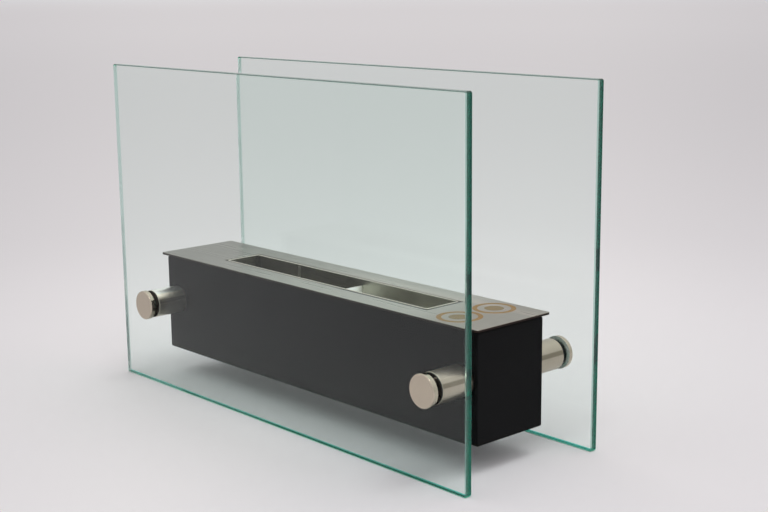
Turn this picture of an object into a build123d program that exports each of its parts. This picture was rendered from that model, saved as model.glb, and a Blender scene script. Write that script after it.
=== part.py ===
from build123d import *
import os

# Tabletop bioethanol fireplace: a folded steel housing carried between two glass panes by
# four stand-offs, with a burner plate and fuel tank that lift out of its top.
# Millimetres, +Z up, +X along the glass, -Y to the front. The origin is on the floor,
# under the middle of the housing.

# Housing: folded channel (front, floor, rear and two top lips) with a tray at each end
housing_length = 312.0
housing_depth = 56.0
housing_height = 68.0
housing_wall = 1.5
housing_edge_radius = 1.0
end_edge_radius = 0.8
floor_clearance = 18.0
top_lip_width = 10.0
seam_gap = 0.2
tray_flange_depth = 22.0
tray_corner_relief = 2.0
slot_side_clearance = 0.2

# Glass panes
pane_height = 226.0
pane_thickness = 5.0
pane_overhang = 19.0
pane_corner_radius = 1.5
pane_arris = 0.8
glass_hole_radius = 6.0

# Stand-offs: barrel, gaskets either side of the glass, recessed cap with a threaded stud
standoff_inset = 12.5
standoff_rise = 38.0
barrel_radius = 9.8
barrel_length = 23.0
barrel_edge_chamfer = 0.3
gasket_thickness = 1.0
gasket_inset = 0.2
cap_radius = 10.3
cap_thickness = 3.3
cap_edge_radius = 0.75
cap_recess_radius = 8.1
cap_lip_gap = 0.3
cap_gasket_clearance = 0.3
stud_radius = 4.0
stud_engagement = 10.0
stud_end_chamfer = 0.6
thread_clearance = 0.05
stud_bore_runout = 2.0
stud_to_gasket_clearance = 0.5
bush_wall = 1.3
bush_clearance = 0.1

# Screws from inside the housing into the barrels
screw_radius = 3.0
screw_engagement = 8.0
screw_head_radius = 5.25
screw_head_height = 3.3
screw_head_rounding = 1.4
screw_socket_across_flats = 4.0
screw_socket_depth = 2.2
screw_bore_runout = 1.0
screw_hole_clearance = 0.3
washer_radius = 6.0
washer_thickness = 1.2

# Burner plate and the gasket it sits on
plate_thickness = 1.5
plate_end_overhang = 2.75
plate_side_overhang = 3.0
plate_corner_radius = 1.0
plate_edge_break = 0.2
cutout_corner_radius = 0.6
seat_thickness = 1.3
seat_inset = 5.0
seat_lip_setback = 0.5
seat_end_width = 12.0

# Fuel tank, hung under the plate, with its folded hem flush in the plate's cut-out
opening_end_margin = 55.2
opening_width = 25.6
tank_corner_radius = 0.8
tank_sheet = 0.6
tank_depth = 58.0
hem_height = 8.0
hem_edge_radius = 0.35
hem_gap = 1.3

# Divider, fill-level strip and wool in the tank
divider_offset = 12.0
divider_sheet = 1.0
divider_drop = 4.5
divider_notch_width = 10.0
divider_notch_height = 4.0
level_strip_offset = -53.0
level_strip_width = 2.4
level_strip_sheet = 0.8
level_strip_drop = 1.0
level_strip_length = 40.0
wool_height = 36.0
wool_clearance = 0.3
wool_edge_radius = 3.0

# Hangers: joggled brackets from the tank's end walls to the underside of the plate
hanger_sheet = 1.2
hanger_side_clearance = 1.0
hanger_wall_leg = 16.0
hanger_hem_clearance = 2.0
hanger_step_out = 3.8
hanger_plate_leg = 12.0

# Derived places
housing_floor_z = floor_clearance
housing_top_z = floor_clearance + housing_height
housing_half_depth = housing_depth / 2
housing_half_length = housing_length / 2
inner_half_depth = housing_half_depth - housing_wall
top_slot_width = housing_depth - 2 * top_lip_width
inner_floor_z = housing_floor_z + housing_wall
lip_underside_z = housing_top_z - housing_wall
tray_inner_x = housing_half_length - housing_wall
tray_flange_x = tray_inner_x - tray_flange_depth

pane_width = housing_length + 2 * pane_overhang
barrel_end = housing_half_depth + barrel_length
pane_inner = barrel_end + gasket_thickness
pane_outer = pane_inner + pane_thickness
cap_lip = pane_outer + cap_lip_gap
cap_seat = pane_outer + gasket_thickness
cap_face = cap_lip + cap_thickness
stud_end = barrel_end - stud_engagement
standoff_x = housing_half_length - standoff_inset
standoff_z = floor_clearance + standoff_rise
gasket_radius = barrel_radius - gasket_inset
gasket_bore_radius = stud_radius + stud_to_gasket_clearance
cap_gasket_radius = cap_recess_radius - cap_gasket_clearance
bush_radius = glass_hole_radius - bush_clearance
washer_seat = inner_half_depth - housing_wall
screw_seat = washer_seat - washer_thickness
screw_end = housing_half_depth + screw_engagement
screw_hole_radius = screw_radius + screw_hole_clearance

plate_underside_z = housing_top_z + seat_thickness
plate_top_z = plate_underside_z + plate_thickness
plate_length = housing_length + 2 * plate_end_overhang
plate_width = housing_depth + 2 * plate_side_overhang

opening_length = housing_length - 2 * opening_end_margin
tank_half_length = opening_length / 2
tank_half_width = opening_width / 2
tank_floor_z = plate_top_z - tank_depth + tank_sheet
wall_outer_x = tank_half_length + tank_sheet
hem_outer_x = wall_outer_x + tank_sheet
hem_bottom_z = plate_top_z - hem_height
cutout_length = 2 * (hem_outer_x + hem_gap)
cutout_width = opening_width + 2 * (2 * tank_sheet + hem_gap)

edge_search = 0.01

FRONT, REAR = -1, 1
LEFT, RIGHT = -1, 1
SIDES = {"front": FRONT, "rear": REAR}
ENDS = {"left": LEFT, "right": RIGHT}


def block(x_range, y_range, z_range):
    """A box between two values on each axis, in either order."""
    size = [abs(b - a) for a, b in (x_range, y_range, z_range)]
    middle = [(a + b) / 2 for a, b in (x_range, y_range, z_range)]
    return Pos(*middle) * Box(*size)


def slab(outline, bottom_z, top_z):
    """An outline in plan, raised from one height to another."""
    return Pos(0, 0, bottom_z) * extrude(outline, amount=top_z - bottom_z)


def turned(radius, start, end, bore=0.0):
    """A disc or ring about the stand-off axis, by its distances from the middle of the housing."""
    outline = Circle(radius)
    if bore > 0:
        outline -= Circle(bore)
    return Pos(0, 0, start) * extrude(outline, amount=end - start)


def outer_rim(body, distance):
    """The widest circular edge of a turned body at one distance along its axis."""
    edges = body.edges().filter_by(GeomType.CIRCLE)
    level = edges.filter_by_position(Axis.Z, distance - edge_search, distance + edge_search)
    return level.sort_by(SortBy.RADIUS)[-1]


def at_standoff(body, side, end):
    """Turns a body made along +Z to point out of one side, on a stand-off's axis."""
    return Pos(end * standoff_x, 0, standoff_z) * Rot(-90 * side, 0, 0) * body


def screw_holes():
    """Both screw holes at each end, as rods through the whole depth of the housing."""
    holes = []
    for end in ENDS.values():
        rod = turned(screw_hole_radius, -housing_depth, housing_depth)
        holes.append(at_standoff(rod, REAR, end))
    return holes


# Housing


def housing_channel():
    """Front, floor, rear and top lips, folded from one sheet."""
    outer = RectangleRounded(housing_depth, housing_height, housing_edge_radius)
    inner = Rectangle(2 * inner_half_depth, housing_height - 2 * housing_wall)
    slot_centre = (housing_height - housing_wall) / 2
    slot = Pos(0, slot_centre) * Rectangle(top_slot_width, 2 * housing_wall)
    profile = Plane.YZ * Pos(0, housing_floor_z + housing_height / 2) * (outer - inner - slot)
    channel = extrude(profile, amount=tray_inner_x - seam_gap, both=True)
    return channel - screw_holes()


def housing_end(end):
    """Tray that closes one end: a rounded plate with four flanges inside the channel."""
    outline = RectangleRounded(housing_depth, housing_height, housing_edge_radius)
    outline = Plane.YZ * Pos(0, housing_floor_z + housing_height / 2) * outline
    tray = Pos(tray_inner_x, 0, 0) * extrude(outline, amount=housing_wall)
    outside = tray.faces().sort_by(Axis.X)[-1]
    tray = fillet(outside.outer_wire().edges(), end_edge_radius)

    along = (tray_flange_x, tray_inner_x)
    side_low = inner_floor_z + housing_wall + tray_corner_relief
    side_high = lip_underside_z - tray_corner_relief
    floor_half = inner_half_depth - housing_wall - tray_corner_relief
    top_half = top_slot_width / 2 - slot_side_clearance
    for side in SIDES.values():
        across = (side * inner_half_depth, side * (inner_half_depth - housing_wall))
        tray += block(along, across, (side_low, side_high))
    tray += block(along, (-floor_half, floor_half), (inner_floor_z, inner_floor_z + housing_wall))
    tray += block(along, (-top_half, top_half), (lip_underside_z, housing_top_z))
    tray -= screw_holes()
    if end == LEFT:
        tray = mirror(tray, about=Plane.YZ)
    return tray


# Glass and stand-offs


def glass_pane(side):
    """Float glass with softened corners, arrised edges and two holes for the stand-offs."""
    outline = Pos(0, pane_height / 2) * RectangleRounded(pane_width, pane_height, pane_corner_radius)
    pane = extrude(Plane.XZ * outline, amount=pane_thickness / 2, both=True)
    faces = pane.faces().sort_by(Axis.Y)
    arrised = faces[0].outer_wire().edges() + faces[-1].outer_wire().edges()
    pane = chamfer(arrised, pane_arris)
    for end in ENDS.values():
        hole = turned(glass_hole_radius, -pane_thickness, pane_thickness)
        pane -= at_standoff(hole, side, end)
    return Pos(0, side * (pane_inner + pane_outer) / 2, 0) * pane


def standoff_barrel():
    """Spacer with a blind threaded bore at each end."""
    barrel = turned(barrel_radius, housing_half_depth, barrel_end)
    rims = [outer_rim(barrel, housing_half_depth), outer_rim(barrel, barrel_end)]
    barrel = chamfer(rims, barrel_edge_chamfer)
    stud_bore_end = stud_end - stud_bore_runout
    barrel -= turned(stud_radius + thread_clearance, stud_bore_end, barrel_end)
    screw_bore_end = screw_end + screw_bore_runout
    barrel -= turned(screw_radius + thread_clearance, housing_half_depth, screw_bore_end)
    return barrel


def inner_gasket():
    """Between the barrel's end and the glass."""
    return turned(gasket_radius, barrel_end, pane_inner, bore=gasket_bore_radius)


def outer_gasket():
    """Sits in the cap's recess and holds its lip just off the glass."""
    return turned(cap_gasket_radius, pane_outer, cap_seat, bore=gasket_bore_radius)


def glass_bush():
    """Lines the hole in the glass, so that the stud never touches it."""
    return turned(bush_radius, pane_inner, pane_outer, bore=bush_radius - bush_wall)


def standoff_cap():
    """Disc with a rounded rim, a recess for its gasket and the stud that screws into the barrel."""
    disc = turned(cap_radius, cap_lip, cap_face)
    disc = fillet(outer_rim(disc, cap_face), cap_edge_radius)
    disc -= turned(cap_recess_radius, cap_lip, cap_seat)
    stud = turned(stud_radius, stud_end, cap_seat)
    stud = chamfer(outer_rim(stud, stud_end), stud_end_chamfer)
    return disc + stud


def washer():
    """Under the screw's head, on the tray's flange."""
    return turned(washer_radius, screw_seat, washer_seat, bore=screw_hole_radius)


def housing_screw():
    """Button-head screw with a hexagon socket, driven from inside the housing."""
    head_end = screw_seat - screw_head_height
    head = turned(screw_head_radius, head_end, screw_seat)
    head = fillet(outer_rim(head, head_end), screw_head_rounding)
    socket = RegularPolygon(screw_socket_across_flats / 2, 6, major_radius=False)
    head -= Pos(0, 0, head_end) * extrude(socket, amount=screw_socket_depth)
    return head + turned(screw_radius, screw_seat, screw_end)


STANDOFF_PIECES = {
    "standoff_barrel": standoff_barrel,
    "standoff_cap": standoff_cap,
    "inner_gasket": inner_gasket,
    "outer_gasket": outer_gasket,
    "glass_bush": glass_bush,
    "washer": washer,
    "housing_screw": housing_screw,
}


# Burner


def plate_seat():
    """Heat-resistant gasket frame between the housing's top and the burner plate."""
    outer = Rectangle(housing_length - 2 * seat_inset, housing_depth - 2 * seat_inset)
    inner_length = housing_length - 2 * (seat_inset + seat_end_width)
    inner = Rectangle(inner_length, top_slot_width + 2 * seat_lip_setback)
    return slab(outer - inner, housing_top_z, plate_underside_z)


def burner_plate():
    """Flat brushed plate with a long cut-out for the tank's hem."""
    outline = RectangleRounded(plate_length, plate_width, plate_corner_radius)
    outline -= RectangleRounded(cutout_length, cutout_width, cutout_corner_radius)
    plate = slab(outline, plate_underside_z, plate_top_z)
    top = plate.faces().sort_by(Axis.Z)[-1]
    return chamfer(top.edges(), plate_edge_break)


def tank_outline(growth):
    """The tank in plan, grown from its inside walls."""
    length = opening_length + 2 * growth
    width = opening_width + 2 * growth
    return RectangleRounded(length, width, tank_corner_radius + growth)


def burner_tank():
    """Open tank with one sheet's thickness folded back as a hem around the rim."""
    tank = slab(tank_outline(tank_sheet), tank_floor_z - tank_sheet, plate_top_z)
    tank += slab(tank_outline(2 * tank_sheet), hem_bottom_z, plate_top_z)
    tank -= slab(tank_outline(0), tank_floor_z, plate_top_z)
    rim = tank.faces().sort_by(Axis.Z)[-1]
    return fillet(rim.edges(), hem_edge_radius)


def tank_divider():
    """Cross plate with a passage at its foot, so that both halves fill to one level."""
    along = (divider_offset - divider_sheet / 2, divider_offset + divider_sheet / 2)
    across = (-tank_half_width, tank_half_width)
    divider = block(along, across, (tank_floor_z, plate_top_z - divider_drop))
    notch_half = divider_notch_width / 2
    notch = (tank_floor_z, tank_floor_z + divider_notch_height)
    return divider - block(along, (-notch_half, notch_half), notch)


def level_strip():
    """Narrow strip on the rear wall that marks the highest fill."""
    along = (
        level_strip_offset - level_strip_width / 2,
        level_strip_offset + level_strip_width / 2,
    )
    across = (tank_half_width - level_strip_sheet, tank_half_width)
    top = plate_top_z - level_strip_drop
    return block(along, across, (top - level_strip_length, top))


def wool_pad(end):
    """Ceramic wool block that fills the foot of the tank on one side of the divider."""
    wall_side = end * (tank_half_length - wool_clearance)
    divider_side = divider_offset + end * (divider_sheet / 2 + wool_clearance)
    half_width = tank_half_width - level_strip_sheet - wool_clearance
    bottom = tank_floor_z + wool_clearance
    pad = block((divider_side, wall_side), (-half_width, half_width), (bottom, bottom + wool_height))
    return fillet(pad.edges().filter_by(Axis.Z), wool_edge_radius)


def tank_hanger(end):
    """Bracket that passes round the hem: wall leg, step out, riser and plate leg."""
    half = top_slot_width / 2 - hanger_side_clearance
    across = (-half, half)
    step_z = hem_bottom_z - hanger_hem_clearance
    riser_x = wall_outer_x + hanger_step_out
    legs = [
        ((wall_outer_x, wall_outer_x + hanger_sheet), (step_z - hanger_wall_leg, step_z)),
        ((wall_outer_x, riser_x + hanger_sheet), (step_z - hanger_sheet, step_z)),
        ((riser_x, riser_x + hanger_sheet), (step_z - hanger_sheet, plate_underside_z)),
        ((riser_x, riser_x + hanger_plate_leg), (plate_underside_z - hanger_sheet, plate_underside_z)),
    ]
    hanger = block(legs[0][0], across, legs[0][1])
    for along, height in legs[1:]:
        hanger += block(along, across, height)
    if end == LEFT:
        hanger = mirror(hanger, about=Plane.YZ)
    return hanger


def all_nodes():
    """Every piece by its name."""
    nodes = {
        "housing_channel": housing_channel(),
        "plate_seat": plate_seat(),
        "burner_plate": burner_plate(),
        "burner_tank": burner_tank(),
        "tank_divider": tank_divider(),
        "level_strip": level_strip(),
    }
    for end_name, end in ENDS.items():
        nodes[f"housing_end_{end_name}"] = housing_end(end)
        nodes[f"tank_hanger_{end_name}"] = tank_hanger(end)
        nodes[f"wool_pad_{end_name}"] = wool_pad(end)
    for side_name, side in SIDES.items():
        nodes[f"{side_name}_glass_pane"] = glass_pane(side)
        for end_name, end in ENDS.items():
            for piece_name, piece in STANDOFF_PIECES.items():
                name = f"{piece_name}_{side_name}_{end_name}"
                nodes[name] = at_standoff(piece(), side, end)
    return nodes


os.makedirs("parts", exist_ok=True)
for name, shape in all_nodes().items():
    export_step(shape, f"parts/{name}.step")
    print(name, round(shape.volume, 1))
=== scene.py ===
import math
import random

import bmesh
import bpy
from mathutils import Matrix, Vector, noise


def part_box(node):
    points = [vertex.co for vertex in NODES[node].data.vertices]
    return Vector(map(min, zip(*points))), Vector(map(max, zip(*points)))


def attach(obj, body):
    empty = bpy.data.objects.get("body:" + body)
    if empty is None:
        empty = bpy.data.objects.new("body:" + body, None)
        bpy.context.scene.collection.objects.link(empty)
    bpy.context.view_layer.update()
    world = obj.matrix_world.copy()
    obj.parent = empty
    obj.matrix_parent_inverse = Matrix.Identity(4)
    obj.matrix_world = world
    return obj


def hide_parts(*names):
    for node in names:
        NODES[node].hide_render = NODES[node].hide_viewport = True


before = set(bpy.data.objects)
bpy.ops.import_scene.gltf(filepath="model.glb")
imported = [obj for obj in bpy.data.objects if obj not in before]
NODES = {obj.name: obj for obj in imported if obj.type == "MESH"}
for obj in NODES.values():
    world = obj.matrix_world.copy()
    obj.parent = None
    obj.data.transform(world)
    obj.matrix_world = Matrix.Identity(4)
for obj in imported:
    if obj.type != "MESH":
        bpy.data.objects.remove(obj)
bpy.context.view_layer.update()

# The looks of a tabletop bioethanol fireplace. Metres and degrees, +Z up, +X along the glass,
# -Y to the front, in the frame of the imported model. A name that ends in FADE, START, END or
# TURN is a pair: the value at which an effect begins and the value at which it is complete.

MM = 0.001
ORIGIN = (0, 0, 0)
FLAT = (1, 1, 0)
SIDES = ("front", "rear")


# Camera

CAMERA_LENS = 64.14
SENSOR_WIDTH = 36.0
CAMERA_PLACE = (678.2 * MM, -571.4 * MM, 286.7 * MM)
CAMERA_AZIMUTH = 47.87
CAMERA_ELEVATION = 11.66
CAMERA_ROLL = -0.61
CAMERA_NEAREST = 0.01


def make_camera():
    """Looks at the fireplace from its front right, a little above the burner plate."""
    azimuth, elevation, roll = map(math.radians, (CAMERA_AZIMUTH, CAMERA_ELEVATION, CAMERA_ROLL))
    level = math.cos(elevation)
    back = Vector((math.sin(azimuth) * level, -math.cos(azimuth) * level, math.sin(elevation)))
    right = Vector((math.cos(azimuth), math.sin(azimuth), 0))
    up = back.cross(right)
    rolled_right = math.cos(roll) * right + math.sin(roll) * up
    rolled_up = math.cos(roll) * up - math.sin(roll) * right
    camera = bpy.data.objects.new("camera", bpy.data.cameras.new("camera"))
    camera.data.lens = CAMERA_LENS
    camera.data.sensor_width = SENSOR_WIDTH
    camera.data.clip_start = CAMERA_NEAREST
    turn = Matrix((rolled_right, rolled_up, back)).transposed().to_4x4()
    camera.matrix_world = Matrix.Translation(CAMERA_PLACE) @ turn
    bpy.context.scene.collection.objects.link(camera)
    bpy.context.scene.camera = camera


# Light

LONGEST_LIGHT_PATH = 160
DOME_STOPS = ((0.0, 0.70), (0.25, 0.72), (0.6, 0.89), (1.0, 1.11))
LAMP_AIM = (0, 0, 0.05)
SOFTBOXES = {
    "softbox_above": dict(place=(0.42, 0.22, 1.20), size=(0.6, 0.5), power=3.4),
    "softbox_front": dict(place=(0.30, -0.96, 1.08), size=(0.22, 0.22), power=0.8),
}


def make_dome():
    """A white dome that is brighter overhead."""
    world = bpy.data.worlds.new("studio")
    world.use_nodes = True
    tree = world.node_tree
    height = tree.nodes.new("ShaderNodeSeparateXYZ")
    tree.links.new(tree.nodes.new("ShaderNodeTexCoord").outputs["Generated"], height.inputs[0])
    shade = tree.nodes.new("ShaderNodeValToRGB")
    tree.links.new(height.outputs["Z"], shade.inputs[0])
    tree.links.new(shade.outputs[0], tree.nodes["Background"].inputs["Color"])
    ramp = shade.color_ramp
    while len(ramp.elements) < len(DOME_STOPS):
        ramp.elements.new(0.5)
    for element, (place, level) in zip(ramp.elements, DOME_STOPS):
        element.position = place
        element.color = (level, level, level, 1)
    world.cycles.sampling_method = "NONE"
    bpy.context.scene.world = world


def make_softbox(name, place, size, power):
    """An oblong lamp turned to the fireplace, which isn't seen through the glass."""
    lamp = bpy.data.lights.new(name, "AREA")
    lamp.shape = "RECTANGLE"
    lamp.size, lamp.size_y = size
    lamp.energy = power
    light = bpy.data.objects.new(name, lamp)
    light.location = place
    aim = Vector(LAMP_AIM) - Vector(place)
    light.rotation_euler = aim.to_track_quat("-Z", "Y").to_euler()
    light.visible_transmission = False
    bpy.context.scene.collection.objects.link(light)


def make_light():
    """The dome, a large softbox above and a small one in front; many bounces for the glass."""
    make_dome()
    for name, box in SOFTBOXES.items():
        make_softbox(name, **box)
    scene = bpy.context.scene
    scene.view_settings.view_transform = "Standard"
    scene.cycles.denoising_input_passes = "RGB_ALBEDO"
    scene.cycles.max_bounces = LONGEST_LIGHT_PATH
    scene.cycles.glossy_bounces = LONGEST_LIGHT_PATH
    scene.cycles.transmission_bounces = LONGEST_LIGHT_PATH


# Materials

QUARTER_ROTATION = 0.25


class Paint:
    """A material built on one Principled shader, with a short call for each node it uses."""

    SOCKETS = {
        "metallic": "Metallic",
        "roughness": "Roughness",
        "specular": "Specular IOR Level",
        "shine_colour": "Specular Tint",
        "ior": "IOR",
        "transmission": "Transmission Weight",
        "anisotropic": "Anisotropic",
        "rotation": "Anisotropic Rotation",
        "sheen": "Sheen Weight",
        "sheen_roughness": "Sheen Roughness",
    }

    def __init__(self, name):
        self.material = bpy.data.materials.new(name)
        self.material.use_nodes = True
        self.tree = self.material.node_tree
        self.shader = self.tree.nodes["Principled BSDF"]
        self.output = self.tree.nodes["Material Output"]

    def node(self, kind, inputs=None, **settings):
        made = self.tree.nodes.new(kind)
        for key, value in settings.items():
            setattr(made, key, value)
        for key, value in (inputs or {}).items():
            self.feed(made.inputs[key], value)
        return made

    def feed(self, socket, value):
        """Links a socket to another one, or sets it to a number, vector or colour."""
        if isinstance(value, bpy.types.NodeSocket):
            self.tree.links.new(value, socket)
        elif isinstance(value, tuple) and len(value) == 3 and len(socket.default_value) == 4:
            socket.default_value = (*value, 1)
        else:
            socket.default_value = value

    def values(self, **settings):
        for key, value in settings.items():
            self.feed(self.shader.inputs[self.SOCKETS[key]], value)

    def colour(self, value):
        self.feed(self.shader.inputs["Base Color"], value)

    def object_point(self):
        return self.node("ShaderNodeTexCoord").outputs["Object"]

    def object_normal(self):
        """The normal, which is turned round where a ray meets a surface from within."""
        return self.node("ShaderNodeTexCoord").outputs["Normal"]

    def part(self, vector, axis):
        return self.node("ShaderNodeSeparateXYZ", {0: vector}).outputs[axis]

    def maths(self, operation, a, b=0.0):
        return self.node("ShaderNodeMath", {0: a, 1: b}, operation=operation).outputs[0]

    def size(self, value):
        """A number without its sign."""
        return self.maths("ABSOLUTE", value)

    def all_of(self, *shares):
        """The product of some shares, so 1 only where each of them is."""
        product = shares[0]
        for share in shares[1:]:
            product = self.maths("MULTIPLY", product, share)
        return product

    def vector(self, operation, a, b=ORIGIN):
        """A vector from one or two others, or the number that a dot or a distance gives."""
        made = self.node("ShaderNodeVectorMath", {0: a, 1: b}, operation=operation)
        return made.outputs["Value" if operation in ("DOT_PRODUCT", "DISTANCE") else "Vector"]

    def distance(self, point, place=ORIGIN, plane=(1, 1, 1)):
        """How far a point is from a place, each axis counting as much as plane says."""
        home = tuple(a * b for a, b in zip(place, plane))
        return self.vector("DISTANCE", self.vector("MULTIPLY", point, plane), home)

    def between(self, value, low, high):
        """0 at low, 1 at high and smooth in the middle."""
        inputs = {"Value": value, "From Min": low, "From Max": high}
        made = self.node("ShaderNodeMapRange", inputs, interpolation_type="SMOOTHSTEP")
        return made.outputs["Result"]

    def span(self, value, low, high):
        """A value from 0 to 1 stretched to a range."""
        inputs = {"Value": value, "To Min": low, "To Max": high}
        return self.node("ShaderNodeMapRange", inputs).outputs["Result"]

    def mix(self, share, first, second):
        """One number where share is 0 and another where it is 1."""
        return self.node("ShaderNodeMix", {"Factor": share, "A": first, "B": second}).outputs[0]

    def blend(self, share, first, second, how="MIX"):
        """One colour where share is 0 and another where it is 1."""
        inputs = {"Factor": share, 6: first, 7: second}
        return self.node("ShaderNodeMix", inputs, data_type="RGBA", blend_type=how).outputs[2]

    def tinted(self, colour, share, tint):
        """A colour multiplied by a tint as far as share says."""
        return self.blend(share, colour, tint, "MULTIPLY")

    def grain(self, per_metre, detail, point=None):
        """Noise with features of about 1 / per_metre along each axis."""
        spread = self.vector("MULTIPLY", point or self.object_point(), per_metre)
        inputs = {"Vector": spread, "Scale": 1.0, "Detail": detail}
        return self.node("ShaderNodeTexNoise", inputs).outputs["Fac"]

    def bump(self, height, depth, strength):
        inputs = {"Height": height, "Distance": depth, "Strength": strength}
        self.feed(self.shader.inputs["Normal"], self.node("ShaderNodeBump", inputs).outputs["Normal"])

    def brush_across(self, direction):
        """The direction in which a brushed metal spreads its highlights."""
        made = self.node("ShaderNodeCombineXYZ", dict(enumerate(direction)))
        self.feed(self.shader.inputs["Tangent"], made.outputs[0])

    def turned_about_y(self):
        """Lathe marks run round the Y axis, so highlights spread across them."""
        tangent = self.node("ShaderNodeTangent", direction_type="RADIAL", axis="Y")
        self.feed(self.shader.inputs["Tangent"], tangent.outputs[0])
        self.values(rotation=QUARTER_ROTATION)


def speckled(name, per_metre, dark, pale, detail=2):
    """Starts a material with a fine grain between two close colours; also gives that grain."""
    paint = Paint(name)
    grain = paint.grain(per_metre, detail)
    paint.colour(paint.blend(grain, dark, pale))
    return paint, grain


# Floor

FLOOR_REACH = 30.0
FLOOR_GAP = 0.05 * MM
FLOOR_COLOUR = (0.728, 0.701, 0.708)
# Painted shade: the floor is painted darker farther from the fireplace.
FAR_FLOOR_PAINTED_SHADE = (0.706, 0.678, 0.687)
FAR_FADE = (0.12, 0.78)
# Painted light: the floor under the fireplace is painted lighter, lifting the shadow that falls there.
INNER_FLOOR_PAINTED_LIGHT = (0.806, 0.782, 0.794)
INNER_FLOOR_STRETCH = (0.4, 1, 0)
INNER_FADE = (0.10, 0.045)
# Painted shade on both sides of a painted pool of light that runs away from the fireplace.
POOL_DIRECTION = (-0.742, 0.671, 0)
POOL_APEX = 0.9
POOL_LEAST_REACH = 0.3
POOL_START = (-0.45, -0.2)
POOL_SIDE_FADE = (0.12, 0.34)
POOL_SIDE_SHADE = (0.91, 0.91, 0.92)
# Painted shade on the floor at middle distance.
MIDDLE_FLOOR_SHADE = (0.955, 0.955, 0.955)
MIDDLE_START = (0.3, 0.75)
MIDDLE_END = (7.0, 2.0)
# Painted light: the floor is painted brighter towards the horizon.
HORIZON_FLOOR_GLOW = (1.12, 1.16, 1.145)
HORIZON_FADE = (9.0, 24.0)
# Painted shade: a soft dim patch on the floor in front of the fireplace.
NEAR_FLOOR_SHADE = (0.94, 0.945, 0.96)
NEAR_FLOOR_PLACE = (0.165, -0.075, 0)
NEAR_FADE = (0.17, 0.02)
FLOOR_ROUGHNESS = 0.9
FLOOR_SPECULAR = 0.1


def floor_paper():
    """Pale paper painted with light and shade: lightest under the fireplace, darker far off and at
    middle distance, beside a pool of light and near the front, brighter towards the horizon.
    """
    paint = Paint("floor_paper")
    point = paint.object_point()
    away = paint.distance(point, plane=FLAT)
    # Painted shade, darker farther off.
    colour = paint.blend(paint.between(away, *FAR_FADE), FLOOR_COLOUR, FAR_FLOOR_PAINTED_SHADE)
    # Painted light under the fireplace, where its shadow falls.
    outside = paint.distance(point, plane=INNER_FLOOR_STRETCH)
    colour = paint.blend(paint.between(outside, *INNER_FADE), colour, INNER_FLOOR_PAINTED_LIGHT)
    # Painted shade beside a pool of light.
    along = paint.vector("DOT_PRODUCT", point, POOL_DIRECTION)
    across = paint.vector("DOT_PRODUCT", point, (-POOL_DIRECTION[1], POOL_DIRECTION[0], 0))
    reach = paint.maths("MAXIMUM", paint.maths("ADD", along, POOL_APEX), POOL_LEAST_REACH)
    sideways = paint.maths("DIVIDE", paint.size(across), reach)
    beside = paint.all_of(paint.between(sideways, *POOL_SIDE_FADE), paint.between(along, *POOL_START))
    colour = paint.tinted(colour, beside, POOL_SIDE_SHADE)
    # Painted shade at middle distance.
    middle = paint.all_of(paint.between(away, *MIDDLE_START), paint.between(away, *MIDDLE_END))
    colour = paint.tinted(colour, middle, MIDDLE_FLOOR_SHADE)
    # Painted light towards the horizon.
    colour = paint.tinted(colour, paint.between(away, *HORIZON_FADE), HORIZON_FLOOR_GLOW)
    # Painted shade in front of the fireplace.
    close_by = paint.between(paint.distance(point, NEAR_FLOOR_PLACE, FLAT), *NEAR_FADE)
    paint.colour(paint.tinted(colour, close_by, NEAR_FLOOR_SHADE))
    paint.values(roughness=FLOOR_ROUGHNESS, specular=FLOOR_SPECULAR)
    return paint.material


def make_floor():
    """One large square just under the glass."""
    mesh = bpy.data.meshes.new("floor")
    corners = [(-1, -1), (1, -1), (1, 1), (-1, 1)]
    points = [(x * FLOOR_REACH, y * FLOOR_REACH, -FLOOR_GAP) for x, y in corners]
    mesh.from_pydata(points, [], [(0, 1, 2, 3)])
    mesh.materials.append(floor_paper())
    floor = bpy.data.objects.new("floor", mesh)
    bpy.context.scene.collection.objects.link(floor)


# Housing

POWDER = (0.0040, 0.0042, 0.0046)
POWDER_PALE = (0.0050, 0.0052, 0.0056)
POWDER_SPECKLE = (3500, 3500, 3500)
POWDER_PEEL = (900, 900, 900)
POWDER_PEEL_DEPTH = 0.006 * MM
POWDER_ROUGHNESS = (0.50, 0.58)


def powder_coat():
    """Matt black powder coat with a fine orange peel."""
    paint, _ = speckled("powder_coat", POWDER_SPECKLE, POWDER, POWDER_PALE, detail=1)
    peel = paint.grain(POWDER_PEEL, detail=3)
    paint.values(roughness=paint.span(peel, *POWDER_ROUGHNESS), specular=0.07)
    paint.bump(peel, POWDER_PEEL_DEPTH, strength=0.5)
    return paint.material


# Burner plate

PLATE_STEEL = (0.530, 0.502, 0.452)
PLATE_STEEL_DARK = (0.475, 0.448, 0.401)
PLATE_STREAKS = (35, 2600, 2600)
PLATE_STREAK_DEPTH = 0.002 * MM
PLATE_CLOUDS = (12, 500, 500)
PLATE_ROUGHNESS = (0.24, 0.34)
# Painted reflection: the plate is painted darker towards its left end and its right end.
PLATE_LEFT_SHADE = (0.46, 0.45, 0.43)
PLATE_LEFT_FADE = (60 * MM, -155 * MM)
PLATE_RIGHT_SHADE = (0.715, 0.67, 0.645)
PLATE_RIGHT_FADE = (95 * MM, 140 * MM)
# Painted reflection: a brighter strip of the plate behind the cut-out.
PLATE_REAR_GLOW = (1.20, 1.15, 1.15)
PLATE_REAR_START = (14 * MM, 16 * MM)
PLATE_REAR_END = (27 * MM, 17 * MM)
PLATE_REAR_LEFT_END = (-60 * MM, 20 * MM)
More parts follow.
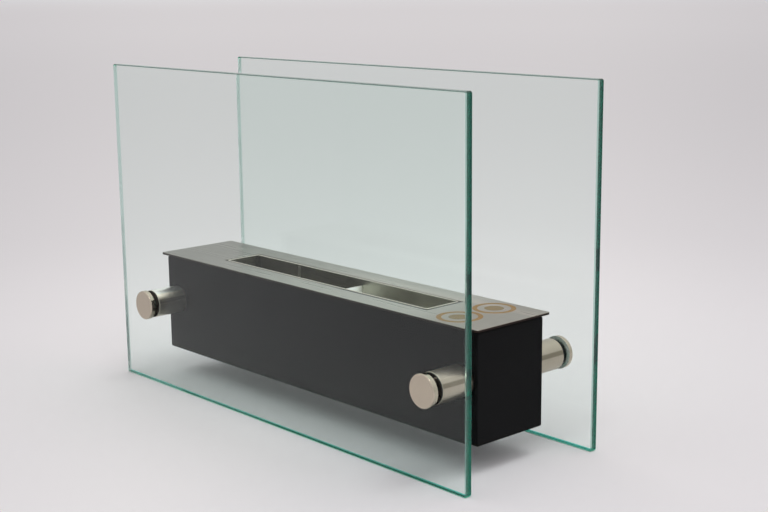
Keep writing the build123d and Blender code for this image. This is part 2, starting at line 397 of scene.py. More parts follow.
# Painted shadow: a dark line on the plate beside the tank's gap, along the right half of the near side
# and the right end.
CUTOUT_GAP = 1.3 * MM
CUTOUT_SHADE = (0.08, 0.07, 0.07)
CUTOUT_LINE_FADE = (1.7 * MM, 0.9 * MM)
CUTOUT_LINE_LEFT_END = (0, 30 * MM)
CUTOUT_LINE_REAR_END = (15.2 * MM, 14.6 * MM)
# Painted shade: the plate's cut sides are painted nearly black, as if in shade.
CUT_SIDE_SHADE = (0.030, 0.022, 0.019)
CUT_EDGE_INSET = 4 * MM
CUT_EDGE_TURN = (0.5, 0.2)
AMBER = (0.26, 0.122, 0.008)
OLIVE = (0.20, 0.125, 0.035)
MARK_PLACES = ((129.0 * MM, 14.3 * MM, 0), (129.0 * MM, -14.3 * MM, 0))
MARK_RADIUS = 13.25 * MM
MARK_STROKE = 3.0 * MM
MARK_DOT_RADIUS = 6.0 * MM
MARK_BLUR = 0.15 * MM
MARK_METALLIC = 0.1
MARK_SPECULAR = 0.15


def past_rectangle(paint, point, half_x, half_y):
    """How far a point lies outside an oblong round the origin; less than 0 inside it."""
    past_x = paint.maths("SUBTRACT", paint.size(paint.part(point, "X")), half_x)
    past_y = paint.maths("SUBTRACT", paint.size(paint.part(point, "Y")), half_y)
    return paint.maths("MAXIMUM", past_x, past_y)


def shaded_plate_steel(paint, point, streaks):
    """The plate's bare metal with painted reflections, darker to both ends and brighter behind the
    cut-out, and a painted shadow line beside its gap.
    """
    along, depth = paint.part(point, "X"), paint.part(point, "Y")
    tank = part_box("burner_tank")[1]
    past_cutout = past_rectangle(paint, point, tank.x + CUTOUT_GAP, tank.y + CUTOUT_GAP)
    steel = paint.blend(streaks, PLATE_STEEL_DARK, PLATE_STEEL)
    # Painted reflection, darker towards both ends.
    steel = paint.tinted(steel, paint.between(along, *PLATE_LEFT_FADE), PLATE_LEFT_SHADE)
    steel = paint.tinted(steel, paint.between(along, *PLATE_RIGHT_FADE), PLATE_RIGHT_SHADE)
    # Painted reflection behind the cut-out.
    rear = paint.all_of(
        paint.between(depth, *PLATE_REAR_END),
        paint.between(depth, *PLATE_REAR_START),
        paint.between(along, *PLATE_REAR_LEFT_END),
    )
    steel = paint.tinted(steel, rear, PLATE_REAR_GLOW)
    # Painted shadow line beside the gap.
    line = paint.all_of(
        paint.between(past_cutout, *CUTOUT_LINE_FADE),
        paint.between(along, *CUTOUT_LINE_LEFT_END),
        paint.between(depth, *CUTOUT_LINE_REAR_END),
    )
    return paint.tinted(steel, line, CUTOUT_SHADE)


def ring_masks(paint, point):
    """Masks of the two plain printed rings and of the round dots inside them."""
    rings, dots = [], []
    half_stroke = MARK_STROKE / 2
    for place in MARK_PLACES:
        away = paint.distance(point, place, FLAT)
        off = paint.size(paint.maths("SUBTRACT", away, MARK_RADIUS - half_stroke))
        rings.append(paint.between(off, half_stroke + MARK_BLUR, half_stroke - MARK_BLUR))
        dots.append(paint.between(away, MARK_DOT_RADIUS + MARK_BLUR, MARK_DOT_RADIUS - MARK_BLUR))
    return paint.maths("MAXIMUM", *rings), paint.maths("MAXIMUM", *dots)


def cut_side_mask(paint, point):
    """Mask of the plate's four cut sides, without those of its cut-out, which get painted shade."""
    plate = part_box("burner_plate")[1]
    past = past_rectangle(paint, point, plate.x - CUT_EDGE_INSET, plate.y - CUT_EDGE_INSET)
    upright = paint.size(paint.part(paint.object_normal(), "Z"))
    return paint.all_of(paint.between(upright, *CUT_EDGE_TURN), paint.maths("GREATER_THAN", past, 0.0))


def brushed_plate():
    """Stainless brushed along its length, with painted reflections on top, painted shade on its cut
    sides and two plain amber rings.
    """
    paint = Paint("brushed_plate")
    point = paint.object_point()
    streaks = paint.grain(PLATE_STREAKS, detail=3, point=point)
    clouds = paint.grain(PLATE_CLOUDS, detail=2, point=point)
    steel = shaded_plate_steel(paint, point, streaks)
    ring, dot = ring_masks(paint, point)
    printed = paint.blend(dot, paint.blend(ring, steel, AMBER), OLIVE)
    # Painted shade on the plate's cut sides.
    paint.colour(paint.blend(cut_side_mask(paint, point), printed, CUT_SIDE_SHADE))
    metallic = paint.span(paint.maths("MAXIMUM", ring, dot), 1.0, MARK_METALLIC)
    paint.values(metallic=metallic, specular=MARK_SPECULAR)
    paint.values(anisotropic=0.65, roughness=paint.span(clouds, *PLATE_ROUGHNESS))
    paint.bump(streaks, PLATE_STREAK_DEPTH, strength=0.5)
    paint.brush_across((0, 1, 0))
    return paint.material


# Tank

TANK_STEEL = (0.54, 0.53, 0.44)
TANK_STEEL_DARK = (0.34, 0.335, 0.27)
TANK_CLOUDS = (26, 40, 16)
TANK_CLOUD_FADE = (0.32, 0.68)
TANK_STREAKS = (25, 900, 900)
TANK_STREAK_DEPTH = 0.001 * MM
TANK_ROUGHNESS = (0.30, 0.36)
# Painted shade: the tank is painted darker towards its left end.
TANK_LEFT_SHADE = (0.50, 0.49, 0.45)
TANK_LEFT_FADE = (20 * MM, 0)
TANK_HEM_WIDTH = 1.2 * MM
# Painted shade in the tank's four corners, with a dark weld there too.
TANK_CORNER_SHADE = (0.55, 0.55, 0.52)
TANK_CORNER_FADE = (3.4 * MM, 1.6 * MM)
# Painted highlight along the top of the tank's rim.
RIM_HIGHLIGHT = (0.72, 0.66, 0.58)
RIM_START_BELOW_TOP = 0.45 * MM
RIM_END_BELOW_TOP = 0.1 * MM
STRIP_STEEL = (0.56, 0.55, 0.48)
STRIP_STEEL_DARK = (0.48, 0.47, 0.40)
STRIP_GRAIN = (400, 400, 900)
STRIP_ROUGHNESS = (0.34, 0.42)
DIVIDER_STEEL = (0.92, 0.90, 0.86)
DIVIDER_STEEL_DARK = (0.84, 0.82, 0.78)
DIVIDER_GRAIN = (900, 900, 900)
DIVIDER_ROUGHNESS = (0.38, 0.48)
DIVIDER_LEAN = (0, 0, 0.9)
DIVIDER_LEAN_FADE = (72 * MM, 78 * MM)


def tank_steel():
    """Stainless brushed along the tank, cloudy and dull inside it, with painted shade to its left end
    and in its corners and a painted highlight on its rim.
    """
    paint = Paint("tank_steel")
    point = paint.object_point()
    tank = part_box("burner_tank")[1]
    streaks = paint.grain(TANK_STREAKS, detail=2, point=point)
    clouds = paint.between(paint.grain(TANK_CLOUDS, detail=1, point=point), *TANK_CLOUD_FADE)
    wall = paint.blend(clouds, TANK_STEEL_DARK, TANK_STEEL)
    # Painted shade towards the left end.
    wall = paint.tinted(wall, paint.between(paint.part(point, "X"), *TANK_LEFT_FADE), TANK_LEFT_SHADE)
    # Painted shade and a dark weld in each corner.
    corner = (tank.x - TANK_HEM_WIDTH, tank.y - TANK_HEM_WIDTH, 0)
    from_corner = paint.distance(paint.vector("ABSOLUTE", point), corner, FLAT)
    wall = paint.tinted(wall, paint.between(from_corner, *TANK_CORNER_FADE), TANK_CORNER_SHADE)
    # Painted highlight on the rim.
    rim = paint.between(
        paint.part(point, "Z"), tank.z - RIM_START_BELOW_TOP, tank.z - RIM_END_BELOW_TOP
    )
    paint.colour(paint.blend(rim, wall, RIM_HIGHLIGHT))
    paint.values(metallic=1.0, anisotropic=0.5, roughness=paint.span(streaks, *TANK_ROUGHNESS))
    paint.bump(streaks, TANK_STREAK_DEPTH, strength=0.4)
    paint.brush_across((0, 0, 1))
    return paint.material


def divider_steel():
    """Bright sheet, its upper part shaded as if it leaned back, so it catches light from above."""
    paint, grain = speckled("divider_steel", DIVIDER_GRAIN, DIVIDER_STEEL_DARK, DIVIDER_STEEL)
    paint.values(metallic=0.8, roughness=paint.span(grain, *DIVIDER_ROUGHNESS))
    share = paint.between(paint.part(paint.object_point(), "Z"), *DIVIDER_LEAN_FADE)
    lean = paint.node("ShaderNodeVectorMath", {0: DIVIDER_LEAN, "Scale": share}, operation="SCALE")
    flat = paint.node("ShaderNodeNewGeometry").outputs["Normal"]
    bent = paint.vector("NORMALIZE", paint.vector("ADD", flat, lean.outputs[0]))
    paint.feed(paint.shader.inputs["Normal"], bent)
    return paint.material


def strip_steel():
    """Plain cut strip on the tank's wall."""
    paint, grain = speckled("strip_steel", STRIP_GRAIN, STRIP_STEEL_DARK, STRIP_STEEL)
    paint.values(metallic=1.0, roughness=paint.span(grain, *STRIP_ROUGHNESS))
    return paint.material


# Stand-offs

BARREL = (0.520, 0.460, 0.375)
BARREL_DARK = (0.455, 0.402, 0.325)
BARREL_MARKS = (60, 900, 60)
BARREL_MARK_DEPTH = 0.001 * MM
BARREL_ROUGHNESS = (0.29, 0.35)
# Painted reflection: a dark band along each barrel.
BARREL_BAND_ACROSS = 0.951
BARREL_BAND_UP = 0.309
BARREL_BAND_TURN = (0.983, 0.9965)
BARREL_BAND_SHADE = (0.55, 0.53, 0.50)
# Painted highlight on the upper flank of the front barrels.
BARREL_FLANK_TURN = (0.60, 0.86)
BARREL_FLANK_GLOW = (1.80, 1.83, 1.90)
BARREL_FRONT_FADE = (20 * MM, 0)
# Painted light: the left barrels are painted brighter.
BARREL_LEFT_GLOW = (1.36, 1.40, 1.42)
BARREL_LEFT_FADE = (0, -20 * MM)
SATIN = (0.570, 0.500, 0.405)
SATIN_DARK = (0.500, 0.440, 0.355)
CAP_MARKS = (1500, 60, 1500)
CAP_MARK_DEPTH = 0.003 * MM
CAP_ROUGHNESS = (0.30, 0.38)
CAP_POLISH = 0.08
CAP_FACE_TURN = (0.93, 0.995)
# Painted light: the back of each cap is painted pale, as if lit through the glass.
CAP_BACK_PAINTED_LIGHT = (1.0, 0.98, 0.92)
CAP_BACK_TURN = (-0.5, -0.9)
CAP_BACK_METALLIC = 0.2


def satin_barrel():
    """Turned satin metal with faint marks round its axis, a painted dark reflection in a band along it,
    a painted highlight on its upper flank in front and painted light on the left barrels.
    """
    paint = Paint("satin_barrel")
    point, normal = paint.object_point(), paint.object_normal()
    marks = paint.grain(BARREL_MARKS, detail=2, point=point)
    up = paint.part(normal, "Z")
    towards = paint.maths(
        "ADD",
        paint.maths("MULTIPLY", paint.size(paint.part(normal, "X")), BARREL_BAND_ACROSS),
        paint.maths("MULTIPLY", up, BARREL_BAND_UP),
    )
    in_front = paint.between(paint.part(point, "Y"), *BARREL_FRONT_FADE)
    # Painted highlight on the upper flank in front.
    flank = paint.all_of(paint.between(up, *BARREL_FLANK_TURN), in_front)
    satin = paint.blend(marks, BARREL_DARK, BARREL)
    satin = paint.tinted(satin, flank, BARREL_FLANK_GLOW)
    # Painted light on the left barrels.
    left = paint.between(paint.part(point, "X"), *BARREL_LEFT_FADE)
    satin = paint.tinted(satin, left, BARREL_LEFT_GLOW)
    # Painted dark reflection in a band along the barrel.
    band = paint.between(towards, *BARREL_BAND_TURN)
    paint.colour(paint.tinted(satin, band, BARREL_BAND_SHADE))
    paint.values(metallic=1.0, roughness=paint.span(marks, *BARREL_ROUGHNESS))
    paint.bump(marks, BARREL_MARK_DEPTH, strength=0.2)
    return paint.material


def cap_metal():
    """Satin on the cap's flat face, polished on its rounded rim and its side, with painted light on its
    back.
    """
    paint = Paint("cap_metal")
    point, normal = paint.object_point(), paint.object_normal()
    marks = paint.grain(CAP_MARKS, detail=3, point=point)
    side = paint.maths("SIGN", paint.part(point, "Y"))
    outward = paint.maths("MULTIPLY", paint.part(normal, "Y"), side)
    on_face = paint.between(paint.size(outward), *CAP_FACE_TURN)
    # Painted light on the back of the cap.
    on_back = paint.between(outward, *CAP_BACK_TURN)
    paint.colour(paint.blend(on_back, paint.blend(marks, SATIN_DARK, SATIN), CAP_BACK_PAINTED_LIGHT))
    roughness = paint.mix(on_face, CAP_POLISH, paint.span(marks, *CAP_ROUGHNESS))
    metallic = paint.span(on_back, 1.0, CAP_BACK_METALLIC)
    paint.values(metallic=metallic, anisotropic=0.3, roughness=roughness)
    paint.bump(marks, CAP_MARK_DEPTH, strength=0.3)
    paint.turned_about_y()
    return paint.material


# Gaskets, bushes and fasteners

RUBBER = (0.006, 0.006, 0.006)
RUBBER_PALE = (0.010, 0.010, 0.010)
RUBBER_GRAIN = (1800, 1800, 1800)
RUBBER_DEPTH = 0.01 * MM
RUBBER_ROUGHNESS = (0.45, 0.6)
BOARD = (0.008, 0.008, 0.008)
BOARD_PALE = (0.018, 0.017, 0.016)
BOARD_GRAIN = (1200, 1200, 1200)
BOARD_DEPTH = 0.03 * MM
NYLON = (0.72, 0.72, 0.68)
NYLON_PALE = (0.78, 0.78, 0.75)
NYLON_GRAIN = (600, 600, 600)
ZINC = (0.56, 0.57, 0.58)
ZINC_PALE = (0.66, 0.66, 0.62)
ZINC_GRAIN = (500, 500, 500)
ZINC_ROUGHNESS = (0.25, 0.4)


def rubber():
    """Black moulded rubber."""
    paint, grain = speckled("black_rubber", RUBBER_GRAIN, RUBBER, RUBBER_PALE)
    paint.values(roughness=paint.span(grain, *RUBBER_ROUGHNESS), specular=0.3)
    paint.bump(grain, RUBBER_DEPTH, strength=0.4)
    return paint.material


def seat_fibre():
    """Heat-resistant gasket board, nearly black."""
    paint, grain = speckled("seat_fibre", BOARD_GRAIN, BOARD, BOARD_PALE, detail=3)
    paint.values(roughness=0.9, specular=0.2)
    paint.bump(grain, BOARD_DEPTH, strength=0.6)
    return paint.material


def nylon():
    """Milky nylon of the outer gaskets and of the bushes in the glass."""
    paint, _ = speckled("clear_nylon", NYLON_GRAIN, NYLON, NYLON_PALE)
    paint.values(roughness=0.35, transmission=0.5)
    return paint.material


def plated_steel():
    """Zinc-plated fasteners."""
    paint, grain = speckled("plated_steel", ZINC_GRAIN, ZINC, ZINC_PALE, detail=3)
    paint.values(metallic=1.0, roughness=paint.span(grain, *ZINC_ROUGHNESS))
    return paint.material


def dress_nodes():
    """Gives every carried-over CAD node its material, by the longest start of its name."""
    tank, milky, plated = tank_steel(), nylon(), plated_steel()
    looks = {
        "housing_": powder_coat(),
        "housing_screw": plated,
        "washer": plated,
        "plate_seat": seat_fibre(),
        "burner_plate": brushed_plate(),
        "burner_tank": tank,
        "tank_hanger": tank,
        "tank_divider": divider_steel(),
        "level_strip": strip_steel(),
        "standoff_barrel": satin_barrel(),
        "standoff_cap": cap_metal(),
        "inner_gasket": rubber(),
        "outer_gasket": milky,
        "glass_bush": milky,
    }
    for name, node in NODES.items():
        fitting = [start for start in looks if name.startswith(start)]
        if fitting:
            node.data.materials.clear()
            node.data.materials.append(looks[max(fitting, key=len)])


# Glass panes

GLASS_IOR = 1.30
GLASS_ABSORBS = (7.4, 4.0, 4.8)
GLASS_LETS_LAMPS = (0.88, 0.93, 0.91)
GLASS_OUTER_SHINE = (0.7, 0.7, 0.7)
GLASS_INNER_SHINE = (1.0, 1.0, 1.0)
GLASS_FACE_LEVEL = 0.9995
GLASS_FACE_TINT = (0.957, 1.0, 0.983)
GLASS_EDGE_TINT = (0.04, 0.30, 0.24)
GLASS_EDGE_CLEARNESS = 0.88
GLASS_LOW_EDGE_TINT = (0.02, 0.45, 0.33)
GLASS_LOW_EDGE_FADE = (130 * MM, 0.0)
# Painted light: the near half of each edge is painted paler, where light comes through it.
GLASS_NEAR_PAINTED_LIGHT = (0.38, 0.62, 0.55)
GLASS_NEAR_CLEARNESS = 0.84
GLASS_NEAR_FADE = (1.2 * MM, -2.4 * MM)
# Painted light: each pane's left end is painted pale, where light comes in through it.
GLASS_LEFT_PAINTED_LIGHT = (0.84, 0.99, 0.96)
GLASS_LEFT_CLEARNESS = 0.35
GLASS_LEFT_DEPTH = 0.9 * MM
GLASS_TOP_TINT = (0.10, 0.18, 0.15)
GLASS_TOP_CLEARNESS = 0.85
GLASS_TOP_DEPTH = 1.0 * MM
GLASS_DEPTH_BLUR = 0.3 * MM
# Painted light: the foot, and the top seen from within the glass, are painted an opaque bright green for
# light caught in the glass.
GLASS_FOOT_PAINTED_LIGHT = (0.04, 0.44, 0.28)
GLASS_TOP_WITHIN_PAINTED_LIGHT = (0.02, 0.95, 0.62)
GLASS_FOOT_CLEARNESS = 0.0
GLASS_FOOT_TURN = (-0.05, -0.35)
GLASS_SPECULAR = 0.5
PANE_CORNER_RADIUS = 1.5 * MM
PANE_ARRIS = 0.8 * MM
PANE_HOLE_RADIUS = 6.0 * MM
CORNER_STEPS = 6
EDGE_STEPS = 6
HOLE_STEPS = 64


def clear_glass():
    """Float glass: clear faces and round green edges, greener low down and darker on top, with painted
    light on their near half, their left end, their foot and their top seen from within.
    """
    paint = Paint("clear_glass")
    point, normal = paint.object_point(), paint.object_normal()
    low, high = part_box("rear_glass_pane")
    along, depth, height = (paint.part(point, axis) for axis in "XYZ")
    inside = paint.node("ShaderNodeNewGeometry").outputs["Backfacing"]

    # The front half of each pane's thickness, its left edge and its top edge, told by place.
    middle = paint.maths("MULTIPLY", paint.maths("SIGN", depth), (low.y + high.y) / 2)
    near = paint.between(paint.maths("SUBTRACT", depth, middle), *GLASS_NEAR_FADE)
    left_start = low.x + GLASS_LEFT_DEPTH
    left = paint.between(along, left_start, left_start - GLASS_DEPTH_BLUR)
    top_start = high.z - GLASS_TOP_DEPTH
    above = paint.between(height, top_start, top_start + GLASS_DEPTH_BLUR)
    # A normal is turned round within the glass, so this is the foot for a ray from outside and
    # the top for a ray from within.
    below = paint.between(paint.part(normal, "Z"), *GLASS_FOOT_TURN)
    on_face = paint.maths("GREATER_THAN", paint.size(paint.part(normal, "Y")), GLASS_FACE_LEVEL)

    edge = paint.blend(paint.between(height, *GLASS_LOW_EDGE_FADE), GLASS_EDGE_TINT, GLASS_LOW_EDGE_TINT)
    # Painted light on the near half of the edge.
    edge = paint.blend(near, edge, GLASS_NEAR_PAINTED_LIGHT)
    # Painted light on the left end.
    edge = paint.blend(left, edge, GLASS_LEFT_PAINTED_LIGHT)
    edge = paint.blend(above, edge, GLASS_TOP_TINT)
    # Painted light on the foot and on the top seen from within.
    edge = paint.blend(below, edge, paint.blend(inside, GLASS_FOOT_PAINTED_LIGHT, GLASS_TOP_WITHIN_PAINTED_LIGHT))
    paint.colour(paint.blend(on_face, edge, GLASS_FACE_TINT))

    clearness = paint.span(near, GLASS_EDGE_CLEARNESS, GLASS_NEAR_CLEARNESS)
    clearness = paint.all_of(
        paint.mix(left, clearness, GLASS_LEFT_CLEARNESS),
        paint.span(below, 1.0, GLASS_FOOT_CLEARNESS),
        paint.span(above, 1.0, GLASS_TOP_CLEARNESS),
    )
    shine = paint.blend(inside, GLASS_OUTER_SHINE, GLASS_INNER_SHINE)
    paint.values(transmission=paint.maths("MAXIMUM", on_face, clearness), roughness=0.0, ior=GLASS_IOR)
    paint.values(specular=paint.span(below, GLASS_SPECULAR, 0.0), shine_colour=shine)
    finish_glass(paint)
    return paint.material


def finish_glass(paint):
    """Lets lamplight straight through and fills the glass with its green."""
    lamps = paint.node("ShaderNodeLightPath").outputs["Is Shadow Ray"]
    open_way = paint.node("ShaderNodeBsdfTransparent", {"Color": GLASS_LETS_LAMPS}).outputs[0]
    surface = paint.node("ShaderNodeMixShader", {0: lamps, 1: paint.shader.outputs[0], 2: open_way})
    density = max(GLASS_ABSORBS)
    tint = tuple(1 - absorbed / density for absorbed in GLASS_ABSORBS)
    volume = paint.node("ShaderNodeVolumeAbsorption", {"Color": tint, "Density": density})
    paint.tree.links.new(surface.outputs[0], paint.output.inputs["Surface"])
    paint.tree.links.new(volume.outputs[0], paint.output.inputs["Volume"])


def rounded_outline(half_width, low, high, radius, steps):
    """An upright rounded rectangle: its points and outward directions in x and z."""
    centres = [
        (half_width - radius, low + radius, -90),
        (half_width - radius, high - radius, 0),
        (radius - half_width, high - radius, 90),
        (radius - half_width, low + radius, 180),
    ]
    points = []
    for x, z, start in centres:
        for i in range(steps + 1):
            angle = math.radians(start + 90 * i / steps)
            across, up = math.cos(angle), math.sin(angle)
            points.append(((x + radius * across, z + radius * up), (across, up)))
    return points


def edge_profile(front, back):
    """The pane's edge from its front face to its back face: y, inset and the normal's tilt."""
    profile = []
    for i in range(EDGE_STEPS + 1):
        angle = math.pi / 2 * i / EDGE_STEPS
        y = front + PANE_ARRIS * (1 - math.cos(angle))
        profile.append((y, PANE_ARRIS * (1 - math.sin(angle)), angle - math.pi / 2))
    return profile + [(front + back - y, inset, -tilt) for y, inset, tilt in reversed(profile)]


def add_rim(body, normals, low, high):
    """Points round the pane's edge, ring by ring from its front face to its back face."""
    rings = []
    for y, inset, tilt in edge_profile(low.y, high.y):
        ring = []
        radius = PANE_CORNER_RADIUS - inset
        outline = rounded_outline(high.x - inset, low.z + inset, high.z - inset, radius, CORNER_STEPS)
        for (x, z), (across, up) in outline:
            vert = body.verts.new((x, y, z))
            normals[vert] = (across * math.cos(tilt), math.sin(tilt), up * math.cos(tilt))
            ring.append(vert)
        rings.append(ring)
    return rings


def add_hole_ring(body, normals, x, y, z):
    """Points round a hole in one face of the pane."""
    ring = []
    for i in range(HOLE_STEPS):
        angle = 2 * math.pi * i / HOLE_STEPS
        across, up = math.cos(angle), math.sin(angle)
        vert = body.verts.new((x + PANE_HOLE_RADIUS * across, y, z + PANE_HOLE_RADIUS * up))
        normals[vert] = (-across, 0, -up)
        ring.append(vert)
    return ring


def add_band(body, first, second):
    """Smooth squares between two rings with as many points."""
    for i, vert in enumerate(first):
        j = (i + 1) % len(first)
        body.faces.new((vert, first[j], second[j], second[i])).smooth = True


def fill_face(body, loops):
    """One flat face of the pane: the area inside the first ring and outside the others."""
    edges = []
    for loop in loops:
        for i, vert in enumerate(loop):
            edges.append(body.edges.get((vert, loop[(i + 1) % len(loop)])))
    bmesh.ops.triangle_fill(body, edges=edges, use_beauty=True)


def pane_mesh(name, body, normals):
    """The finished mesh, its flat faces shaded flat and its edges and bores shaded round."""
    bmesh.ops.recalc_face_normals(body, faces=body.faces)
    body.verts.index_update()
    by_index = {vert.index: Vector(normal) for vert, normal in normals.items()}
    mesh = bpy.data.meshes.new(name)
    body.to_mesh(mesh)
    body.free()
    corner_normals = []
    for face in mesh.polygons:
        for index in face.vertices:
            corner_normals.append(by_index[index] if face.use_smooth else face.normal.copy())
    mesh.normals_split_custom_set(corner_normals)
    return mesh


def make_pane(side_name, material):
    """One pane: two flat faces with a hole at each end, and polished round edges."""
    node = f"{side_name}_glass_pane"
    low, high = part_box(node)
    barrel_low, barrel_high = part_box(f"standoff_barrel_{side_name}_right")
    barrel = (barrel_low + barrel_high) / 2
    body = bmesh.new()
    normals = {}
    rings = add_rim(body, normals, low, high)
    front_holes, rear_holes = [
        [add_hole_ring(body, normals, x, y, barrel.z) for x in (-barrel.x, barrel.x)]
        for y in (low.y, high.y)
    ]
    for first, second in [*zip(rings, rings[1:]), *zip(front_holes, rear_holes)]:
        add_band(body, first, second)
    fill_face(body, [rings[0], *front_holes])
    fill_face(body, [rings[-1], *rear_holes])
    mesh = pane_mesh(f"{side_name}_pane", body, normals)
    mesh.materials.append(material)
    pane = bpy.data.objects.new(f"{side_name}_pane", mesh)
    bpy.context.scene.collection.objects.link(pane)
    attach(pane, "base")
    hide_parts(node)


def make_panes():
    material = clear_glass()
    for side_name in SIDES:
        make_pane(side_name, material)


# Ceramic wool

WOOL = (0.86, 0.85, 0.81)
WOOL_SHADE = (0.60, 0.575, 0.51)
WOOL_CLUMPS = (260, 420, 500)
WOOL_CLUMP_FADE = (0.35, 0.6)
WOOL_FUZZ = (900, 900, 1800)
WOOL_FUZZ_DEPTH = 0.3 * MM
WOOL_SKIN_INSET = 0.5 * MM
WOOL_CELL = 1.6 * MM
WOOL_ROUND = 3.0 * MM
WOOL_PLY = 6.0 * MM
WOOL_PLY_GROOVE = 0.7 * MM
WOOL_PLY_WANDER = 0.4 * MM
WOOL_PLY_ROUNDNESS = 0.5
WOOL_LUMPS = 1.3 * MM
WOOL_COARSE_PER_METRE = 130
WOOL_FINE_PER_METRE = 600
WOOL_COARSE_SHARE = 0.65
WOOL_SEED_STEP = Vector((3.7, 1.3, 2.1))
FIBRE_COUNT = 900
FIBRE_RADIUS = 0.07 * MM
FIBRE_TIP = 0.4
FIBRE_SIDES = 3
FIBRE_POINTS = 5
FIBRE_LENGTH = (3.0 * MM, 9.0 * MM)
FIBRE_SHORTEST = 1.5 * MM
FIBRE_LOWEST = 3 * MM
FIBRE_TOP_WEIGHT = 4
FIBRE_TOP_LEVEL = 0.5
FIBRE_SPREAD = (1, 1, 0.5)
FIBRE_CURL = 0.5
FIBRE_RISE = 0.5 * MM


def ceramic_wool():
    """White mineral fibre, soft and quite without gloss."""
    paint = Paint("ceramic_wool")
    clumps = paint.between(paint.grain(WOOL_CLUMPS, detail=4), *WOOL_CLUMP_FADE)
    paint.colour(paint.blend(clumps, WOOL_SHADE, WOOL))
    paint.values(roughness=1.0, specular=0.05, sheen=0.3, sheen_roughness=0.6)
    paint.bump(paint.grain(WOOL_FUZZ, detail=5), WOOL_FUZZ_DEPTH, strength=0.8)
    return paint.material


def rounded_box_point(point, half, radius):
    """Moves a point of a box's skin onto the box with rounded edges; also its normal."""
    core = Vector([max(-h + radius, min(h - radius, p)) for p, h in zip(point, half)])
    out = point - core
    return core + out.normalized() * radius, out.normalized()


def box_skin(half, cell):
    """A closed grid of squares over a box about its centre."""
    counts = [max(2, round(2 * h / cell)) for h in half]
    body = bmesh.new()
    corners = {}

    def corner(index):
        if index not in corners:
            place = [h * (2 * i / n - 1) for i, n, h in zip(index, counts, half)]
            corners[index] = body.verts.new(place)
        return corners[index]

    for axis in range(3):
        u, v = [a for a in range(3) if a != axis]
        for end in (0, counts[axis]):
            for i in range(counts[u]):
                for j in range(counts[v]):
                    square = []
                    for di, dj in ((0, 0), (1, 0), (1, 1), (0, 1)):
                        index = [0, 0, 0]
                        index[axis], index[u], index[v] = end, i + di, j + dj
                        square.append(corner(tuple(index)))
                    body.faces.new(square)
    bmesh.ops.recalc_face_normals(body, faces=body.faces)
    return body


def wool_surface(low, high, seed):
    """A lumpy blanket folded in plies, kept inside the box of its CAD pad."""
    centre = (low + high) / 2
    half = (high - low) / 2 - Vector((WOOL_SKIN_INSET,) * 3)
    body = box_skin(half, WOOL_CELL)
    shift = WOOL_SEED_STEP * seed
    for vert in body.verts:
        place, out = rounded_box_point(vert.co.copy(), half, WOOL_ROUND)
        coarse = noise.noise(place * WOOL_COARSE_PER_METRE + shift) * 0.5 + 0.5
        fine = noise.noise(place * WOOL_FINE_PER_METRE + shift) * 0.5 + 0.5
        folds = (place.z + WOOL_PLY_WANDER * coarse) / WOOL_PLY
        ply = abs(math.sin(math.pi * folds)) ** WOOL_PLY_ROUNDNESS
        sink = WOOL_LUMPS * (WOOL_COARSE_SHARE * coarse + (1 - WOOL_COARSE_SHARE) * fine)
        sink += WOOL_PLY_GROOVE * (1 - ply) * (1 - abs(out.z))
        vert.co = centre + place - out * sink
    return body


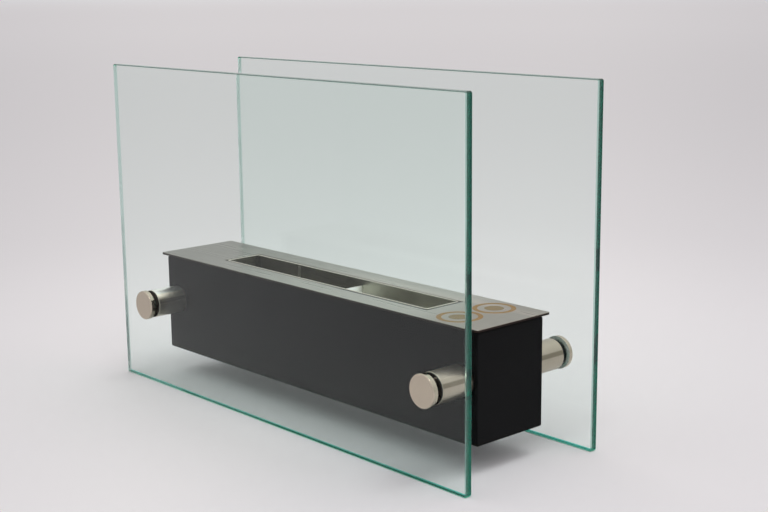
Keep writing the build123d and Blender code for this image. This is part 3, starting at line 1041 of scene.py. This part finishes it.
def add_fibre(body, points):
    """A three-sided strand along the points, thinner at its ends."""
    rings = []
    last = len(points) - 1
    for i, point in enumerate(points):
        ahead = points[min(i + 1, last)] - points[max(i - 1, 0)]
        turn = ahead.to_track_quat("Z", "Y")
        radius = FIBRE_RADIUS * (FIBRE_TIP if i in (0, last) else 1.0)
        ring = []
        for k in range(FIBRE_SIDES):
            angle = 2 * math.pi * k / FIBRE_SIDES
            spoke = Vector((radius * math.cos(angle), radius * math.sin(angle), 0))
            ring.append(body.verts.new(point + turn @ spoke))
        rings.append(ring)
    for first, second in zip(rings, rings[1:]):
        for k in range(FIBRE_SIDES):
            after = (k + 1) % FIBRE_SIDES
            body.faces.new((first[k], first[after], second[after], second[k]))
    body.faces.new(rings[0])
    body.faces.new(rings[-1])


def fibre_points(start, out, dice):
    """A loose fibre that lies along the skin, curls a little and lifts off it in the middle."""
    heading = Vector([dice.gauss(0, spread) for spread in FIBRE_SPREAD])
    heading = (heading - out * heading.dot(out)).normalized()
    curl = out.cross(heading) * dice.uniform(-FIBRE_CURL, FIBRE_CURL)
    length = dice.uniform(*FIBRE_LENGTH)
    points = []
    for i in range(FIBRE_POINTS):
        share = i / (FIBRE_POINTS - 1)
        along = (heading + curl * share) * length * share
        rise = out * FIBRE_RISE * math.sin(math.pi * share)
        points.append(start + along + rise)
    return points


def make_wool(side_name, seed, material):
    """A pad of mineral wool with loose fibres over its top and sides."""
    node = f"wool_pad_{side_name}"
    low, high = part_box(node)
    body = wool_surface(low, high, seed)
    dice = random.Random(seed)
    skin = [face for face in body.faces if face.calc_center_median().z > low.z + FIBRE_LOWEST]
    weights = [FIBRE_TOP_WEIGHT if face.normal.z > FIBRE_TOP_LEVEL else 1 for face in skin]
    starts = dice.choices(skin, weights=weights, k=FIBRE_COUNT)
    starts = [(face.calc_center_median(), face.normal.copy()) for face in starts]
    for start, out in starts:
        points = [
            Vector([max(a, min(b, c)) for a, b, c in zip(low, high, point)])
            for point in fibre_points(start, out, dice)
        ]
        if (points[-1] - points[0]).length > FIBRE_SHORTEST:
            add_fibre(body, points)
    mesh = bpy.data.meshes.new(f"wool_blanket_{side_name}")
    body.to_mesh(mesh)
    body.free()
    mesh.polygons.foreach_set("use_smooth", [True] * len(mesh.polygons))
    mesh.materials.append(material)
    pad = bpy.data.objects.new(f"wool_blanket_{side_name}", mesh)
    bpy.context.scene.collection.objects.link(pad)
    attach(pad, "burner")
    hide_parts(node)


def make_pads():
    material = ceramic_wool()
    for seed, side_name in enumerate(("left", "right"), start=1):
        make_wool(side_name, seed, material)


make_camera()
make_floor()
make_light()
dress_nodes()
make_panes()
make_pads()
